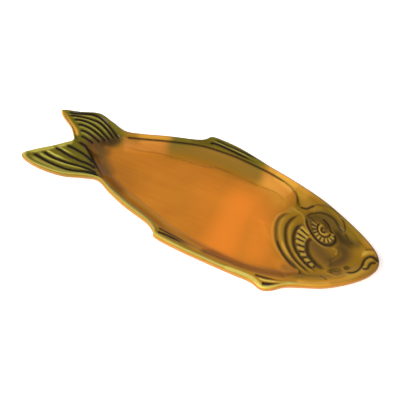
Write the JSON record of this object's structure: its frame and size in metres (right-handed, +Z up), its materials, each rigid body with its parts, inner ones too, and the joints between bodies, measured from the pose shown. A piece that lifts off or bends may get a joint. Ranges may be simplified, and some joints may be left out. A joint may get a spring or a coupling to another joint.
{
  "type": "fish shaped platter",
  "caption": "Long glazed earthenware serving platter in the shape of a fish, with a shallow amber well, a rounded green rim, a rayed tail and a moulded head.",
  "frame": {"origin": "middle of the platter's length and width, on the table under the foot ring", "axes": "+X from the tail to the snout, +Y towards the back fin, +Z up"},
  "size_m": [0.5, 0.1922, 0.028],
  "materials": {
    "fired_clay": "matt fired earthenware, cream to buff, hidden under the glaze",
    "bare_foot_clay": "matt, wiped clean of glaze, slightly sandy, worn grey at the edge",
    "amber_glaze": "glossy transparent amber over buff clay, orange in the middle, darker where it pools",
    "green_glaze": "glossy olive green running to yellow on the edge of the lip",
    "tail_green_glaze": "glossy olive green, nearly black in the grooves between the rays",
    "olive_brown_glaze": "glossy olive brown, golden on the raised folds, nearly black in the grooves",
    "underside_amber_glaze": "glossy brown amber, a little uneven"
  },
  "bodies": {
    "root": {"clay_body": "fired_clay", "foot_ring": "bare_foot_clay", "well_glaze": "amber_glaze", "rim_glaze": "green_glaze", "tail_glaze": "tail_green_glaze", "head_glaze": "olive_brown_glaze", "underside_glaze": "underside_amber_glaze", "recess_glaze": "underside_amber_glaze"}
  },
  "joints": []
}
